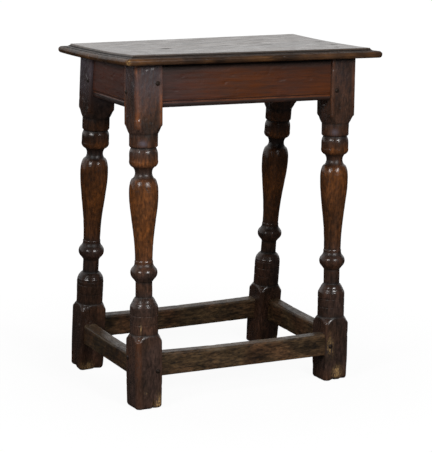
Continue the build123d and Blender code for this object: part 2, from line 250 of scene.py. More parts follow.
# The arrises of the square blocks: radius, how much more it is at the lower block and at the foot, how much
# it comes and goes with the slow and the quick waves, and its limits
ARRIS, ARRIS_MORE_LOW, ARRIS_MORE_AT_FOOT = 2.6, 1.9, 2.4
ARRIS_SLOW, ARRIS_QUICK = 1.3, 0.5
ARRIS_LIMITS = (0.8 * MM, 9 * MM)
FOOT_WORN = (4 * MM, 45 * MM)  # heights between which the foot's own wear fades
LOWER_BLOCK_TOP = (120 * MM, 150 * MM)  # and the wear of the lower block
FOOT_RIM = 5 * MM
SOLE_LIFT = 0.9 * MM

# Heights between which each leg has the groove that parts its two upper drums, and how much the lower drum is
# worn just under it
DRUM_LOW, DRUM_HIGH = 0.396, 0.420
DRUM_WORN, DRUM_WORN_OVER = 2.0 * MM, 6 * MM

# Height of the middle of each leg's ring, and how far its dome stands over or is worn under the even one
RING = {"front_left": 214.5, "front_right": 201.5, "back_left": 204.0, "back_right": 205.5}
DOME_BELOW_RING = 46.5
DOME_RAISED = {"front_left": 0.0, "front_right": 0.0, "back_left": 4.0, "back_right": 5.0}
DOME_WORN = {"front_left": 1.1, "front_right": 0.9, "back_left": 0.0, "back_right": 0.0}
DOME_RAISED_OVER, DOME_WORN_OVER = 13 * MM, 4.5 * MM
SCORED_BELOW_RING = (42.0, 46.0, 50.5)
SCORE_DEPTH, SCORE_WIDTH = 0.4 * MM, 0.9 * MM

# Where the legs have lost wood: height on the leg, bearing round it in degrees, width, height and depth
CHIPS = {
    "front_left": [(0, -73, 2.0, 9.0, 15.0), (14, -72, 1.4, 7.0, 2.5), (18, -98, 2.2, 3.0, 1.2)],
    "front_right": [(0, -55, 6.0, 4.0, 7.0), (0, -104, 7.0, 4.0, 5.0), (60, -133, 5.0, 12.0, 1.5)],
    "back_left": [(0, -75, 7.0, 5.0, 2.5), (0, 170, 8.0, 5.0, 3.0)],
    "back_right": [(0, -110, 9.0, 6.0, 4.0), (0, 60, 7.0, 5.0, 3.0)],
}


def leg_axis(leg):
    """Foot of a leg's axis on the floor, and the axis with two directions across it."""
    side_y = LEGS[leg][1]
    low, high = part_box("leg_" + leg)
    outer = high.y if side_y > 0 else low.y
    depth = LEG_STOCK / cos(LEG_CANT)
    foot = Vector(((low.x + high.x) / 2, outer - side_y * depth / 2, 0))
    up = Vector((0, -side_y * sin(LEG_CANT), cos(LEG_CANT)))
    return foot, up, Vector((1, 0, 0)), up.cross(Vector((1, 0, 0)))


def lathe_profile(leg, heights):
    """Distance from a leg's axis to its turned surface at some heights, as it has worn."""
    # it is read along one diagonal, where no mortise or peg breaks the surface
    foot, up, right, across = leg_axis(leg)
    side_x, side_y = LEGS[leg]
    diagonal = (side_x * right + side_y * across).normalized()
    surface = packed_surface("leg_" + leg)
    dome = (RING[leg] - DOME_BELOW_RING) * MM
    raised = heights - DOME_RAISED[leg] * MM * bell(heights, dome, DOME_RAISED_OVER)
    profile = []
    for height in np.clip(raised, 10 * MM, heights[-1] - 2 * MM):
        start = foot + up * height + diagonal * LEG_STOCK
        hit = surface.ray_cast(start, -diagonal)[0]
        profile.append((hit - foot - up * height).length)
    profile = np.array(profile)

    drum = (heights > DRUM_LOW) & (heights < DRUM_HIGH)
    groove = heights[drum][np.argmin(profile[drum])]
    profile -= DRUM_WORN * bell(heights, groove, DRUM_WORN_OVER) * (heights < groove)
    profile -= DOME_WORN[leg] * MM * bell(heights, dome, DOME_WORN_OVER)
    for drop in SCORED_BELOW_RING:
        profile -= SCORE_DEPTH * bell(heights, (RING[leg] - drop) * MM, SCORE_WIDTH)
    return profile


def square_reach(bearings, half, corner):
    """Distance from the middle of the square block to its face, its corners rounded."""
    along, across = np.abs(np.cos(bearings)), np.abs(np.sin(bearings))
    flat = half / np.maximum(along, across)
    inner = half - corner
    dot = inner * (along + across)
    rounded = dot + np.sqrt(np.maximum(dot**2 - 2 * inner**2 + corner**2, 0))
    in_corner = flat * np.minimum(along, across) > inner
    return np.where(in_corner, np.minimum(rounded, flat), flat)


def spot(bearings, around, heights, mark):
    """1 in the middle of a mark on a leg, and nothing away from it. The mark is one line of a table."""
    height, degrees, width, tall = mark[:4]
    turn = (bearings - radians(degrees) + pi) % tau - pi
    return bell(heights, height * MM, tall * MM) * bell(turn * around, 0, width * MM)


def dress_leg(leg, seed):
    """Worn copy of a leg: turned parts a little out of round, arrises softened and feet eroded.

    The heights of its rings of points on the axis come with it, and its turned profile at them.
    """
    foot, up, right, across = (np.array(v) for v in leg_axis(leg))
    length = FRAME_TOP / cos(LEG_CANT)
    heights = np.linspace(0, length, int(length / LEG_RING_PITCH) + 1)
    profile = lathe_profile(leg, heights)

    # a row for each height and a column for each bearing round the axis
    bearings = np.linspace(-pi, pi, LEG_AROUND, endpoint=False)
    rows, lathe = heights[:, None], profile[:, None]
    directions = np.cos(bearings)[:, None] * right + np.sin(bearings)[:, None] * across
    axis_points = foot + rows[..., None] * up
    places = axis_points + directions * lathe[..., None]
    slow, quick, dents = weathering(places, LEG_WAVES, LEG_DENTED, seed)

    # the leg is as wide as the smaller of its square block and its turning
    block = step(*BLOCK_REACH, lathe)
    foot_wear = 1 - step(*FOOT_WORN, rows)
    low_wear = 1 - step(*LOWER_BLOCK_TOP, rows)
    corner = ARRIS + ARRIS_SLOW * slow + ARRIS_QUICK * quick
    corner = (corner + ARRIS_MORE_LOW * low_wear + ARRIS_MORE_AT_FOOT * foot_wear) * MM
    lost = UPPER_BLOCK_LOST + (LOWER_BLOCK_LOST - UPPER_BLOCK_LOST) * low_wear
    square = square_reach(bearings, LEG_STOCK / 2 - lost, np.clip(corner, *ARRIS_LIMITS))
    turned = lathe * (1 + OUT_OF_ROUND * np.cos(2 * bearings + seed)) + block * 6 * MM
    radius = smooth_smaller(square, turned, (0.5 + 1.1 * low_wear) * MM)

    # waves of the surface, tool marks round the turnings and small dents
    radius += (0.25 * slow + 0.10 * quick) * MM
    radius += TOOL_MARK_DEPTH * (1 - block) * np.sin(rows * tau / TOOL_MARK_PITCH + 3 * slow)
    radius -= LEG_DENT_DEPTH * dents * (0.5 + 0.5 * block)

    # the foot's rim is rounded unevenly
    rim = FOOT_RIM * (1.0 + 0.5 * slow[:1] + 0.3 * quick[:1])
    into_rim = np.clip(1 - rows / rim, 0, 1)
    radius -= rim * (1 - np.sqrt(1 - into_rim**2)) * 0.9
    for mark in CHIPS[leg]:
        radius -= mark[4] * MM * spot(bearings, lathe, rows, mark) * (1 + 0.35 * quick)

    points = axis_points + directions * radius[..., None]
    points[..., 2] = np.clip(points[..., 2], 0, FRAME_TOP)
    points = aged(points)

    # the sole is not quite flat
    lift = (0.5 + 0.5 * wander(points[0], 12 * MM, seed + 3)) * SOLE_LIFT
    points[0, :, 2] += lift * step(0.2, 0.8, np.abs(np.sin(bearings * 2)))
    under_foot = foot + np.array((0, 0, 0.6 * MM))
    return capped_tube("worn_leg_" + leg, points, under_foot, points[-1].mean(0)), heights, profile


# ---- rails -------------------------------------------------------------------------------------------------

RAIL_STATION_PITCH = 2.0 * MM
RAIL_INTO_LEG = 4 * MM
RAIL_ROUNDING = 2.4 * MM  # how far corners soften where a rail is fully worn
RAIL_WAVES = (60 * MM, 14 * MM, 10 * MM)
RAIL_DENTED = (0.36, 0.62)
RAIL_DENT_DEPTH = 0.35 * MM

# Heights of the lower and upper edge of each stretcher at its two ends, the left or front end first. Feet
# have rubbed the upper edges down, a little more in the middle, and the joints have slipped.
STRETCHER_EDGES = {
    "front": ((50.5, 87.5), (44.5, 81.0)),
    "back": ((49.5, 87.0), (49.0, 85.5)),
    "left": ((49.0, 80.5), (47.5, 80.0)),
    "right": ((44.0, 82.0), (48.0, 86.5)),
}
STRETCHER_DIP = 2.0 * MM


def rail_ends(side, heights):
    """Where a side's rails begin and end at some heights, a little inside the faces of its legs."""
    if side in ("front", "back"):
        low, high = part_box("leg_" + side + "_left")[1].x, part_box("leg_" + side + "_right")[0].x
        return np.full(len(heights), low - RAIL_INTO_LEG), np.full(len(heights), high + RAIL_INTO_LEG)
    lean = (FRAME_TOP - heights) * tan(LEG_CANT)
    front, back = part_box("leg_front_" + side)[1].y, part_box("leg_back_" + side)[0].y
    return front - lean - RAIL_INTO_LEG, back + lean + RAIL_INTO_LEG


def dress_rail(node, side, pitch, seed, wear_low, wear_high):
    """Worn copy of an apron or stretcher between its shoulders.

    How far its corners are worn goes from one share at its lower edge to another at its upper edge.
    """
    low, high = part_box(node)
    axis = 0 if side in ("front", "back") else 1
    along = Vector((1 - axis, axis, 0))
    crisp = resample(section(node, (low + high) / 2, along), pitch)
    soft = relaxed(crisp, int((RAIL_ROUNDING / pitch) ** 2))
    top, bottom = crisp[:, 2].max(), crisp[:, 2].min()
    height = (crisp[:, 2] - bottom) / (top - bottom)

    begin, end = rail_ends(side, crisp[:, 2])
    stations = np.linspace(0, 1, int((end - begin).max() / RAIL_STATION_PITCH))[:, None]
    grid = np.repeat(crisp[None], len(stations), 0)
    softer = np.repeat(soft[None], len(stations), 0)
    grid[..., axis] = softer[..., axis] = begin + stations * (end - begin)

    if node.startswith("stretcher"):
        (low_start, high_start), (low_end, high_end) = np.array(STRETCHER_EDGES[side]) * MM
        lower = low_start + stations * (low_end - low_start)
        upper = high_start + stations * (high_end - high_start)
        upper -= STRETCHER_DIP * (1 - (2 * stations - 1) ** 2)
        for points in (grid, softer):
            points[..., 2] = lower + (points[..., 2] - bottom) / (top - bottom) * (upper - lower)
        bottom, top = grid[..., 2].min(), grid[..., 2].max()

    slow, quick, dents = weathering(grid, RAIL_WAVES, RAIL_DENTED, seed)
    wear = wear_low + (wear_high - wear_low) * height
    wear = np.clip(wear + 0.35 * slow + 0.25 * quick, 0, 1)
    points = grid + (softer - grid) * wear[..., None]

    outward = crisp - crisp.mean(0)
    outward[:, axis] = 0
    outward /= np.linalg.norm(outward, axis=1)[:, None]
    raised = (0.18 * slow + 0.08 * quick) * MM - RAIL_DENT_DEPTH * dents
    points += outward * raised[..., None]
    points[..., 2] = np.clip(points[..., 2], bottom, top)
    points = aged(points)
    return capped_tube("worn_" + node, points, points[0].mean(0), points[-1].mean(0))


# ---- seat board --------------------------------------------------------------------------------------------

SEAT_PITCH = 1.6 * MM
SEAT_CORNER = 4.5 * MM
SEAT_CORNER_STEPS = 9
MOULD_PITCH = 0.55 * MM
MOULD_WIDTH = 17.5 * MM


def seat_shape():
    """Half length and half width of the board, the height of the middle of its top, and how it cups."""
    surface = packed_surface("seat_board")
    down = Vector((0, 0, -1))
    rim = SEAT_HIGH.y - MOULD_WIDTH
    middle = surface.ray_cast(Vector((0, 0, 1)), down)[0].z
    edge = surface.ray_cast(Vector((0, rim, 1)), down)[0].z
    return SEAT_HIGH.x, SEAT_HIGH.y, middle, (edge - middle) / rim**2


def mould_profile(half_x, middle):
    """Section of the moulded end of the board: inset from the edge, and height over the middle of its top."""
    loop = resample(section("seat_board", Vector((0, 2 * MM, 0)), Vector((0, 1, 0))), MOULD_PITCH)
    soft = relaxed(loop, 3)
    right = [i for i in range(len(soft)) if soft[i, 0] > half_x - MOULD_WIDTH]
    first = next(i for i in right if (i - 1) % len(soft) not in right)
    run = [soft[(first + i) % len(soft)] for i in range(len(right))]
    if run[0][2] < run[-1][2]:
        run.reverse()
    return [(half_x - p[0], p[2] - middle) for p in run]


def dress_seat(seed):
    """Worn copy of the seat board: cupped top, moulding mitred round the corners, corners knocked round."""
    half_x, half_y, middle, cup = seat_shape()
    profile = mould_profile(half_x, middle)
    counts = (int(2 * half_x / SEAT_PITCH), int(2 * half_y / SEAT_PITCH))

    def loop(inset):
        """Rounded rectangle round the board, from its front left corner along the front."""
        radius = max(SEAT_CORNER - inset, 0)
        x, y = half_x - inset, half_y - inset
        corners = [np.array(c) for c in ((-x, -y), (x, -y), (x, y), (-x, y))]
        points = []
        for k in range(4):
            begin, end = corners[k], corners[(k + 1) % 4]
            way = (end - begin) / np.linalg.norm(end - begin)
            turn = np.array([way[1], -way[0]])
            stops = np.linspace(0, 1, counts[k % 2] + 1)[:, None]
            points += list(begin + way * radius + (end - begin - 2 * way * radius) * stops)
            middle_of_arc = end - way * radius - turn * radius
            for t in np.linspace(0, pi / 2, SEAT_CORNER_STEPS)[1:-1]:
                points.append(middle_of_arc + (turn * cos(t) + way * sin(t)) * radius)
        return np.array(points)

    def field(inset, height):
        """Grid of points over the board inside an inset."""
        x = np.linspace(-(half_x - inset), half_x - inset, counts[0] + 1)
        y = np.linspace(-(half_y - inset), half_y - inset, counts[1] + 1)
        across, along = np.meshgrid(x, y, indexing="ij")
        return np.stack([across, along, middle + height + cup * along**2], axis=-1)

    def worn(points):
        """Points let down where the top has worn, and drawn in along the edges."""
        moved = points.copy()
        slow = wander(points * np.array([0.5, 1, 1]), 70 * MM, seed)
        quick = wander(points * np.array([0.4, 1, 1]), 20 * MM, seed + 1)
        dents = step(0.34, 0.6, wander(points, 9 * MM, seed + 2))
        moved[..., 2] -= (0.25 + 0.25 * slow + 0.08 * quick) * MM
        insets = [half - np.abs(points[..., axis]) for axis, half in enumerate((half_x, half_y))]
        near_edge = 1 - step(0, MOULD_WIDTH * 0.8, np.minimum(*insets))
        draw = (0.25 + 0.25 * quick + 0.5 * dents) * MM * near_edge
        for axis, inset in enumerate(insets):
            moved[..., axis] -= np.sign(points[..., axis]) * draw * (inset < MOULD_WIDTH)
        return moved

    rim = []
    for inset, height in profile:
        flat = loop(inset)
        rim.append(np.column_stack([flat, middle + height + cup * flat[:, 1] ** 2]))
    rim = np.array(rim)
    top = field(*profile[0])

    # the underside is cupped beyond the frame, and flat where it lies on it
    below = field(*profile[-1])
    front_left, back_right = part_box("leg_front_left"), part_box("leg_back_right")
    over_frame = (below[..., 0] > front_left[0].x) & (below[..., 0] < back_right[1].x)
    over_frame &= below[..., 1] > front_left[1].y - LEG_STOCK
    over_frame &= below[..., 1] < back_right[0].y + LEG_STOCK
    below[..., 2] = np.where(over_frame, FRAME_TOP, below[..., 2])

    vertices, faces = [], []
    for points, closed in ((worn(rim), True), (worn(top), False), (below, False)):
        start = len(vertices)
        vertices += list(aged(points).reshape(-1, 3))
        faces += [tuple(start + i for i in f) for f in grid_faces(*points.shape[:2], closed)]
    return new_piece("worn_seat_board", vertices, faces)


# ---- materials ---------------------------------------------------------------------------------------------


def linear(red, green, blue):
    """Colour as it looks on a screen, 0 to 255, in the numbers that Blender renders with."""
    parts = [c / 255 for c in (red, green, blue)]
    return tuple(c / 12.92 if c <= 0.04045 else ((c + 0.055) / 1.055) ** 2.4 for c in parts) + (1,)


def grey(level):
    """Grey of a level that Blender renders with."""
    return (level, level, level, 1)


class Graph:
    """Nodes of a material or of the world, made one line each."""

    def __init__(self, owner):
        owner.use_nodes = True
        self.tree = owner.node_tree
        self.tree.nodes.clear()

    def node(self, kind, inputs, output=0, **settings):
        """New node with some settings. An input is a number, a colour or another node's socket."""
        made = self.tree.nodes.new(kind)
        for key, value in settings.items():
            setattr(made, key, value)
        for key, value in inputs.items():
            if isinstance(value, bpy.types.NodeSocket):
                self.tree.links.new(value, made.inputs[key])
            else:
                made.inputs[key].default_value = value
        return made.outputs[output] if made.outputs else None

    def math(self, operation, a, b, clamp=False):
        return self.node("ShaderNodeMath", {0: a, 1: b}, operation=operation, use_clamp=clamp)

    def add(self, a, b, clamp=False):
        return self.math("ADD", a, b, clamp)

    def multiply(self, a, b):
        return self.math("MULTIPLY", a, b)

    def larger(self, a, b):
        return self.math("MAXIMUM", a, b)

    def mix(self, amount, a, b):
        """Colour from a to b."""
        return self.node("ShaderNodeMix", {0: amount, 6: a, 7: b}, output=2, data_type="RGBA")

    def between(self, value, low, high, to_low=0.0, to_high=1.0, **settings):
        """Value as it goes from low to high, brought to another range, and held there."""
        inputs = {"Value": value, "From Min": low, "From Max": high, "To Min": to_low, "To Max": to_high}
        return self.node("ShaderNodeMapRange", inputs, clamp=True, **settings)

    def noise(self, place, detail, rough, distort):
        inputs = {"Vector": place, "Scale": 1.0, "Detail": detail, "Roughness": rough, "Distortion": distort}
        return self.node("ShaderNodeTexNoise", inputs)

    def place(self, kind="Object"):
        return self.node("ShaderNodeTexCoord", {}, kind)

    def ray(self, kind):
        """1 for light rays of a kind, and 0 for others."""
        return self.node("ShaderNodeLightPath", {}, kind)


# What the material reads at each vertex, from 0 to 1: how warm the brown is, how far an edge is rubbed (on
# the aprons, painted highlights), where the old surface has gone, where dirt and painted shade lie, and where
# a grey sheen is painted
MARKS = ("warm", "wear", "bare", "dirt_and_shade", "painted_sheen")


def oak(name, grain, seed, palette, level, rough, figure=1.0, shade=1.0, run=1.0, relief=1.0):
    """Old waxed oak. The grain runs along an axis, 0 for X, 1 for Y and 2 for Z.

    level is the specular level, and rough the least and most roughness of the wax. figure says how strongly
    the grain shows and shade how light it is as a whole, which paints light and shade on lit and shaded
    copies of one oak. A run below 1 draws the grain out longer, and relief is the depth of its bumps.
    """
    material = bpy.data.materials.new(name)
    g = Graph(material)
    place = g.place()
    shift = (seed * 0.37, seed * 0.73, seed * 0.19)

    def grained(across, along, detail, roughness, distort=0.0):
        """Noise with one scale across the grain and another along it."""
        scales = tuple(along if axis == grain else across for axis in range(3))
        spread = g.node("ShaderNodeMapping", {"Vector": place, "Scale": scales, "Location": shift})
        return g.noise(spread, detail, roughness, distort)

    def swing(value, low, high, amount):
        """Factor for a colour, 1 in the middle of the noise and up to an amount more or less at its ends."""
        return g.between(value, low, high, 1 + amount * figure, 1 - amount * figure)

    streaks = grained(260, 34 * run, 3, 0.6, 0.8)
    pores = grained(640, 120 * run, 2, 0.6)
    patina = grained(40, 22 * run, 3, 0.6)
    mottle = grained(190, 110 * run, 3, 0.65)
    flecks = grained(700, 330, 2, 0.6)
    ripple = grained(150, 90 * run, 1, 0.5)
    warm, wear, bare, dirt_and_shade, painted_sheen = (
        g.node("ShaderNodeAttribute", {}, "Fac", attribute_name=mark) for mark in MARKS
    )

    # the wood under its wax: lighter and darker along the grain, with dark pores
    tone = g.multiply(swing(streaks, 0.34, 0.66, 0.34), swing(mottle, 0.32, 0.68, 0.42))
    tone = g.multiply(tone, swing(patina, 0.30, 0.70, 0.30))
    # shade makes a copy of the oak lighter or darker as a whole: painted light and shade
    tone = g.multiply(tone, g.between(pores, 0.50, 0.66, 1.10 * shade, (1.10 - 0.55 * figure) * shade))
    body = g.mix(warm, palette["plain"], palette["warm"])
    body = g.mix(g.between(patina, 0.45, 0.7, 0, 0.5), body, palette["dull"])
    colour = g.node("ShaderNodeVectorMath", {"Vector": body, "Scale": tone}, operation="SCALE")

    # what has happened to it, and the painted edge highlights, sheen and shade, each in patches that follow
    # the grain
    # rubbed edges, and on the aprons pale lines painted as highlights
    rubbed = g.multiply(wear, g.between(g.add(mottle, streaks), 0.80, 1.12))
    colour = g.mix(rubbed, colour, palette["worn"])
    # painted sheen: a grey reflection of the floor, painted into the colour
    painted_sheen_amount = g.multiply(painted_sheen, g.between(streaks, 0.28, 0.52, 0.5, 1.0))
    colour = g.mix(painted_sheen_amount, colour, palette["painted_sheen"])
    cracked = g.multiply(g.between(streaks, 0.38, 0.52), g.between(flecks, 0.40, 0.58))
    colour = g.mix(g.multiply(bare, cracked), colour, palette["bare"])
    # dirt and dark knots, and painted shade in hollows, grooves and under the board
    dirt_and_shade_amount = g.multiply(dirt_and_shade, g.between(mottle, 0.2, 0.45, 0.5, 1.0))
    colour = g.mix(dirt_and_shade_amount, colour, palette["dirt_and_shade"])

    shine = g.between(g.add(mottle, g.multiply(pores, 0.5)), 0.55, 0.95, *rough)
    dull = g.add(g.multiply(dirt_and_shade, 0.4), g.multiply(bare, 0.35))
    height = g.add(g.add(g.multiply(pores, -0.25), ripple), g.multiply(streaks, 0.2))
    bump = g.node("ShaderNodeBump", {"Strength": 1.0, "Distance": 0.5 * MM * relief, "Height": height})
    surface = {
        "Base Color": colour,
        "Roughness": g.add(shine, dull, clamp=True),
        "Normal": bump,
        "Specular IOR Level": level,
    }
    shader = g.node("ShaderNodeBsdfPrincipled", surface)
    g.node("ShaderNodeOutputMaterial", {"Surface": shader})
    return material


DARK_OAK = {
    "plain": linear(58, 43, 37),
    "warm": linear(98, 57, 26),
    "dull": linear(46, 37, 29),
    "worn": linear(134, 78, 42),
    "bare": linear(166, 132, 84),
    # colour of the painted grey sheen, and of dirt, dark knots and painted shade
    "painted_sheen": linear(88, 81, 88),
    "dirt_and_shade": linear(12, 8, 6),
}
APRON_OAK = dict(DARK_OAK, plain=linear(60, 37, 32), warm=linear(72, 36, 15), dull=linear(52, 31, 22))
STRETCHER_OAK = dict(
    DARK_OAK,
    plain=linear(70, 54, 36),
    warm=linear(78, 50, 32),
    dull=linear(42, 34, 24),
    worn=linear(108, 92, 72),
)
SEAT_OAK = dict(DARK_OAK, plain=linear(80, 62, 48), dull=linear(60, 47, 37), worn=linear(150, 120, 70))
EDGE_OAK = dict(SEAT_OAK, plain=linear(54, 38, 27), dull=linear(34, 25, 19), worn=linear(122, 82, 46))
PEG_OAK = dict(DARK_OAK, plain=linear(42, 32, 26), dull=linear(30, 22, 17))

# How light each leg, apron and stretcher is, beside its palette: painted light and shade, lit and shaded
# copies of one oak, darkest on the back legs and on the back and left stretchers, lighter on the left apron
PAINTED_LEG_SHADE = {"front_left": 1.0, "front_right": 0.78, "back_left": 0.57, "back_right": 0.7}
PAINTED_APRON_SHADE = {"front": 1.0, "back": 1.0, "left": 1.15, "right": 1.0}
PAINTED_STRETCHER_SHADE = {"front": 0.93, "back": 0.6, "left": 0.62, "right": 0.95}


def dress(piece, node, slot, materials, **marks):
    """Gives a piece its surface and its place in the model. Each mark has a number for every vertex."""
    for name in MARKS:
        layer = piece.data.attributes.new(name, "FLOAT", "POINT")
        values = marks.get(name, np.zeros(len(piece.data.vertices)))
        layer.data.foreach_set("value", np.asarray(values, np.float32))
    for material in materials:
        piece.data.materials.append(material)
    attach(piece, "root")
    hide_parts(node)


# ---- marks on the legs -------------------------------------------------------------------------------------

# The baluster is warm from its foot to its neck. Other warm and cold places: height, reach and how much.
BALUSTER_FOOT, BALUSTER_NECK = (205, 245), (350, 368)
WARM_BANDS = [(384, 9, 0.75), (414, 9, 0.3), (190, 12, 0.25), (245, 30, -0.25)]

# How far the arrises of each leg have been rubbed, and how strongly a grey sheen is painted on its upper
# block
ARRIS_RUBBED = {"front_left": 1.0, "front_right": 0.35, "back_left": 0.15, "back_right": 0.2}
PAINTED_SHEEN_SHARE = {"front_left": 0.42, "front_right": 0.1, "back_left": 0.9, "back_right": 0.3}

# Where the old surface has gone and golden wood shows, as in the table of chips, but with a strength
BARE = {
    "front_left": [(9, -58, 5.5, 10.0, 0.9), (27, -112, 1.6, 1.6, 1.0), (129, -129, 1.0, 6.0, 0.8)],
    "front_right": [(14, -88, 9.0, 9.0, 0.8), (60, -124, 5.0, 16.0, 0.55)],
    "back_left": [(6, -120, 8.0, 8.0, 0.4)],
    "back_right": [(8, -60, 8.0, 8.0, 0.4)],
}

# Small places where a grey sheen is painted, in the same way
PAINTED_SHEEN_SPOTS = {
    "front_left": [(415, -117, 6.0, 4.5, 0.9)],
    "front_right": [(415, -124, 6.0, 5.0, 0.7)],
    "back_left": [],
    "back_right": [],
}

# Shade is painted where the turnings are narrower than the mean of so many rings up and down, and is full at
# a depth
HOLLOW_RINGS = 6
HOLLOW_DEPTH = 1.9 * MM


def leg_marks(leg, places, ring_heights, profile):
    """Marks of a leg at its vertices, given the profile of its turnings at some heights."""
    foot, up, right, across = (np.array(v) for v in leg_axis(leg))
    rel = places - foot
    height = rel @ up
    away = np.linalg.norm(rel - height[:, None] * up, axis=1)
    bearings = np.arctan2(rel @ across, rel @ right)

    def strongest(marks):
        """The strongest of some marks of this leg at each place."""
        found = [mark[4] * spot(bearings, LEG_STOCK / 2, height, mark) for mark in marks]
        return np.max(found, axis=0) if found else np.zeros(len(places))

    low, high = np.array(BALUSTER_FOOT) * MM, np.array(BALUSTER_NECK) * MM
    warm = 0.10 + 0.85 * step(*low, height) * (1 - step(*high, height))
    warm += sum(amount * bell(height, middle * MM, tall * MM) for middle, tall, amount in WARM_BANDS)
    warm += 0.30 * wander(places, 50 * MM, 3)

    upper = step(380 * MM, 410 * MM, height)
    wear = ARRIS_RUBBED[leg] * (0.22 + 0.78 * upper) * step(26 * MM, 29 * MM, away)
    wear *= 0.65 + wander(places, 30 * MM, 5)

    kernel = np.ones(2 * HOLLOW_RINGS + 1) / (2 * HOLLOW_RINGS + 1)
    mean = np.convolve(np.pad(profile, HOLLOW_RINGS, "edge"), kernel, "valid")
    hollow = np.interp(height, ring_heights, np.clip((mean - profile) / HOLLOW_DEPTH, 0, 1))
    # painted shade in the hollows of the turnings and just under the board, and darker over the lowest 6 mm
    # of the foot
    dirt_and_shade = hollow * (1 - step(24 * MM, 27 * MM, away))
    dirt_and_shade += 0.5 * step(FRAME_TOP - 7 * MM, FRAME_TOP - 1 * MM, height)
    dirt_and_shade += 0.4 * (1 - step(0, 6 * MM, height))

    # a grey sheen painted on the upper block and in small spots
    patches = np.clip(0.75 + 0.9 * wander(places, 28 * MM, 9), 0, 1)
    painted_sheen = PAINTED_SHEEN_SHARE[leg] * step(440 * MM, 515 * MM, height) * patches + strongest(PAINTED_SHEEN_SPOTS[leg])
    marks = {"warm": warm, "wear": wear, "bare": 1.6 * strongest(BARE[leg]), "dirt_and_shade": dirt_and_shade, "painted_sheen": painted_sheen}
    return {name: np.clip(value, 0, 1) for name, value in marks.items()}


for number, leg in enumerate(LEGS):
    worn_leg, ring_heights, profile = dress_leg(leg, 10 + 7 * number)
    marks = leg_marks(leg, vertex_places(worn_leg), ring_heights, profile)
    finish = {"level": 0.35, "rough": (0.13, 0.36), "figure": 0.95, "shade": PAINTED_LEG_SHADE[leg]}
    surface = oak("oak_leg_" + leg, 2, 3 + number, DARK_OAK, **finish)
    dress(worn_leg, "leg_" + leg, "leg_oak", [surface], **marks)

# ---- marks on the rails ------------------------------------------------------------------------------------


def apron_marks(side, places):
    """Marks of an apron at its vertices: painted shadow under the board, darker bead and groove, painted edge
    highlights.
    """
    bottom, top = (corner.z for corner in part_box("apron_" + side))
    level = places[:, 2]
    to_right = step(-150 * MM, 0, places[:, 0])
    warm = 0.15 + 0.75 * to_right + 0.5 * wander(places, 70 * MM, 4)
    # painted shadow of the board's overhang along the top of the apron
    painted_shadow_under_seat = 0.9 * step(top - 16 * MM, top - 2 * MM, level)
    # darker over the lower bead, and painted shade in the groove above it
    bead = 0.8 * (1 - step(bottom + 6.2 * MM, bottom + 7.6 * MM, level))
    groove = 0.7 * bell(level, bottom + 10.4 * MM, 0.7 * MM)
    # pale lines painted as highlights along the edges of the moulding, in broken patches
    painted_edge_highlights = bell(level, bottom + 8.4 * MM, 0.6 * MM) + 0.8 * bell(level, bottom + 12.4 * MM, 0.6 * MM)
    wear = 0.7 * painted_edge_highlights * step(-0.5, 0.3, wander(places, 25 * MM, 6))
    return {"warm": np.clip(warm, 0, 1), "dirt_and_shade": np.clip(painted_shadow_under_seat + bead + groove, 0, 1), "wear": wear}


def stretcher_marks(side, places):
    """Marks of a stretcher at its vertices: its upper edge is rubbed by feet."""
    (_, high_start), (_, high_end) = STRETCHER_EDGES[side]
    edge = (high_start + high_end) / 2 * MM - STRETCHER_DIP
    wear = 0.7 * step(edge - 6 * MM, edge - 1 * MM, places[:, 2])
    wear *= step(-0.4, 0.4, wander(places, 35 * MM, 8))
    return {"wear": wear, "warm": np.clip(0.3 + 0.8 * wander(places, 40 * MM, 14), 0, 1)}


for number, side in enumerate(("front", "back", "left", "right")):
    grain = 0 if side in ("front", "back") else 1
    apron = dress_rail("apron_" + side, side, 0.7 * MM, 41 + 5 * number, 0.1, 0.1)
    stretcher = dress_rail("stretcher_" + side, side, 1.0 * MM, 71 + 5 * number, 0.3, 0.8)

    marks = apron_marks(side, vertex_places(apron))
    finish = {"level": 0.22, "rough": (0.26, 0.45), "figure": 0.45, "run": 0.3, "relief": 0.4}
    finish["shade"] = PAINTED_APRON_SHADE[side]
    surface = oak("oak_apron_" + side, grain, 20 + number, APRON_OAK, **finish)
    dress(apron, "apron_" + side, "apron_oak", [surface], **marks)

    marks = stretcher_marks(side, vertex_places(stretcher))
    finish = {"level": 0.2, "rough": (0.30, 0.55), "figure": 1.3, "run": 0.9}
    finish["shade"] = PAINTED_STRETCHER_SHADE[side]
    surface = oak("oak_stretcher_" + side, grain, 30 + number, STRETCHER_OAK, **finish)
    dress(stretcher, "stretcher_" + side, "stretcher_oak", [surface], **marks)

# ---- marks on the seat board -------------------------------------------------------------------------------

# Dark marks in the top of the board: place along X and Y, half length and half width, and strength
SEAT_KNOTS = [
    (-102.7, -13.3, 7.0, 7.0, 1.0),
    (-166.9, -58.1, 7.0, 5.0, 0.7),
    (76.2, -15.9, 9.0, 5.0, 0.7),
    (186.6, 2.4, 9.0, 5.0, 0.6),
    (195.8, 122.7, 6.0, 8.0, 1.0),
    (185.1, -46.6, 6.0, 5.0, 0.7),
    (82.7, 21.7, 8.0, 5.0, 0.6),
]

# Grooves of the moulding where shadow is painted: inset from the edge and width
SHADED_SEAT_GROOVES = [(7.4, 1.1), (14.3, 1.7)]


def seat_edge(x, y):
    """Distance of places on the board from its nearest edge."""
    return np.minimum(SEAT_HIGH.x - np.abs(x), SEAT_HIGH.y - np.abs(y))


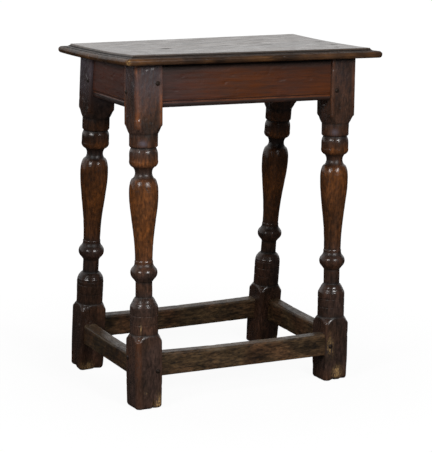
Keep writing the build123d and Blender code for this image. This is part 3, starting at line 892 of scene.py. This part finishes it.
def seat_marks(places):
    """Marks of the seat board at its vertices: dark knots, painted shadow in the grooves, rubbed nose, one
    bare corner.
    """
    x, y = places[:, 0], places[:, 1]
    edge = seat_edge(x, y)
    front_left = bell(x, -SEAT_HIGH.x, 60 * MM) * bell(y, -SEAT_HIGH.y, 40 * MM)
    patches = 0.14 + 0.7 * wander(places, 30 * MM, 12)
    wear = (1 - step(1.5 * MM, 6 * MM, edge)) * (patches + 0.5 * front_left)
    bare = 1 - step(2.5 * MM, 7 * MM, np.hypot(x + SEAT_HIGH.x, y + SEAT_HIGH.y))
    # painted shadow along the step and the quirk of the moulding, then the dark knots in the top
    dirt_and_shade = sum(0.9 * bell(edge, inset * MM, width * MM) for inset, width in SHADED_SEAT_GROOVES)
    dirt_and_shade += np.max(
        [
            strength * bell(x, knot_x * MM, long * MM) * bell(y, knot_y * MM, wide * MM)
            for knot_x, knot_y, long, wide, strength in SEAT_KNOTS
        ],
        axis=0,
    )
    return {"wear": np.clip(wear, 0, 1), "bare": bare, "dirt_and_shade": np.clip(dirt_and_shade, 0, 1)}


seat = dress_seat(5)
seat_top = oak("oak_seat", 0, 50, SEAT_OAK, level=0.71, rough=(0.17, 0.42), figure=0.8, run=0.25, relief=0.3)
seat_rim = oak("oak_seat_edge", 0, 51, EDGE_OAK, level=0.15, rough=(0.22, 0.45), run=0.5, relief=0.7)
dress(seat, "seat_board", "seat_oak", [seat_top, seat_rim], **seat_marks(vertex_places(seat)))
centres = np.array([face.center for face in seat.data.polygons])
moulded = seat_edge(centres[:, 0], centres[:, 1]) < MOULD_WIDTH - 2.5 * MM
underneath = centres[:, 2] < FRAME_TOP + 4 * MM
seat.data.polygons.foreach_set("material_index", (moulded | underneath).astype(np.int32))

# ---- pegs --------------------------------------------------------------------------------------------------

peg_surface = oak("oak_pegs", 2, 60, PEG_OAK, level=0.15, rough=(0.4, 0.6))
for node, peg in list(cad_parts.items()):
    if "pegs" not in node:
        continue
    places = vertex_places(peg)
    leg = node.split("pegs_")[-1]
    if leg in LEGS:
        # pegs of a worn leg stand as proud of it as they did when it was new
        lost = LOWER_BLOCK_LOST if node.startswith("stretcher") else UPPER_BLOCK_LOST
        foot, up = (np.array(v) for v in leg_axis(leg)[:2])
        on_axis = foot + (places[:, 2:] / up[2]) * up
        places[:, :2] += (on_axis - places)[:, :2] * lost / (LEG_STOCK / 2)
    old_pegs = new_piece("old_" + node, aged(places), [tuple(p.vertices) for p in peg.data.polygons])
    dress(old_pegs, node, "peg_oak", [peg_surface])

# ---- floor -------------------------------------------------------------------------------------------------

FLOOR_SIZE = 30
FLOOR_LIT, FLOOR_MIRRORED = 0.35, 0.06  # grey of the floor as it lights the stool and as gloss shows it

# The camera sees a floor that goes over to plain white between two distances from the middle of the stool.
# How much of it is white at the nearer and at the farther one, and how strongly that white shines.
FLOOR_FADE = (0.25, 0.9)
FLOOR_WHITE = (0.82, 1.0)
FLOOR_GLOW = (1.15, 1.02)

bpy.ops.mesh.primitive_plane_add(size=FLOOR_SIZE)
floor = bpy.context.object
floor.name = "floor"
floor_surface = bpy.data.materials.new("pale_floor")
g = Graph(floor_surface)
from_stool = g.node("ShaderNodeVectorMath", {0: g.place()}, "Value", operation="LENGTH")
grey_floor = g.mix(g.ray("Is Glossy Ray"), grey(FLOOR_LIT), grey(FLOOR_MIRRORED))
diffuse = g.node("ShaderNodeBsdfDiffuse", {"Color": grey_floor})
strength = g.between(from_stool, *FLOOR_FADE, *FLOOR_GLOW)
glow = g.node("ShaderNodeEmission", {"Color": grey(1), "Strength": strength})
share = g.multiply(g.ray("Is Camera Ray"), g.between(from_stool, *FLOOR_FADE, *FLOOR_WHITE))
mixed = g.node("ShaderNodeMixShader", {0: share, 1: diffuse, 2: glow})
g.node("ShaderNodeOutputMaterial", {"Surface": mixed})
floor.data.materials.append(floor_surface)

# ---- light -------------------------------------------------------------------------------------------------

AMBIENT = 0.18  # how strongly the surroundings light the stool
LAMP_SIZE = 0.42
LAMP_TARGET = Vector((0, 0, 0.3))

# Gloss mirrors a dark room on the camera's side and the white backdrop behind the stool. One goes over into
# the other between these shares of Y in the direction of the mirrored ray.
ROOM = 0.06
BACKDROP_FROM, BACKDROP_TO = -0.1, 0.5

world = bpy.data.worlds.new("studio")
bpy.context.scene.world = world
g = Graph(world)
towards_back = g.node("ShaderNodeSeparateXYZ", {0: g.place("Generated")}, "Y")
backdrop = g.between(towards_back, BACKDROP_FROM, BACKDROP_TO, ROOM, interpolation_type="SMOOTHSTEP")
shown = g.larger(g.ray("Is Camera Ray"), g.ray("Is Transmission Ray"))
shown = g.larger(shown, g.multiply(g.ray("Is Glossy Ray"), backdrop))
strength = g.larger(shown, g.multiply(g.ray("Is Diffuse Ray"), AMBIENT))
background = g.node("ShaderNodeBackground", {"Color": grey(1), "Strength": strength})
g.node("ShaderNodeOutputWorld", {"Surface": background})


def softbox(name, place, power):
    """Square lamp aimed at the middle of the stool, which the camera doesn't see."""
    lamp = bpy.data.lights.new(name, "AREA")
    lamp.shape = "SQUARE"
    lamp.size = LAMP_SIZE
    lamp.energy = power
    box = bpy.data.objects.new(name, lamp)
    box.location = place
    box.visible_camera = False
    box.rotation_euler = (LAMP_TARGET - Vector(place)).to_track_quat("-Z", "Y").to_euler()
    bpy.context.scene.collection.objects.link(box)


softbox("softbox_right", (0.18, -1.73, 1.07), 22)
softbox("softbox_left", (-1.56, -0.76, 1.07), 14)

# ---- camera ------------------------------------------------------------------------------------------------

# Fitted to the photograph. Without yaw the camera looks along +Y, and it turns to the right as the yaw grows.
CAMERA_PLACE = (-1.1192, -2.0847, 0.7819)
CAMERA_LENS, CAMERA_SENSOR = 117.054, 36
yaw, pitch, roll = radians(28.275), radians(-12.663), radians(1.608)

camera = bpy.data.cameras.new("camera")
camera.sensor_width = CAMERA_SENSOR
camera.lens = CAMERA_LENS
view = bpy.data.objects.new("camera", camera)
forward = Vector((sin(yaw) * cos(pitch), cos(yaw) * cos(pitch), sin(pitch)))
level_right = Vector((cos(yaw), -sin(yaw), 0))
level_up = level_right.cross(forward)
right = level_right * cos(roll) + level_up * sin(roll)
upward = -level_right * sin(roll) + level_up * cos(roll)
turn = Matrix((right, upward, -forward)).transposed()
view.matrix_world = Matrix.Translation(CAMERA_PLACE) @ turn.to_4x4()
bpy.context.scene.collection.objects.link(view)
bpy.context.scene.camera = view
bpy.context.scene.view_settings.view_transform = "Standard"
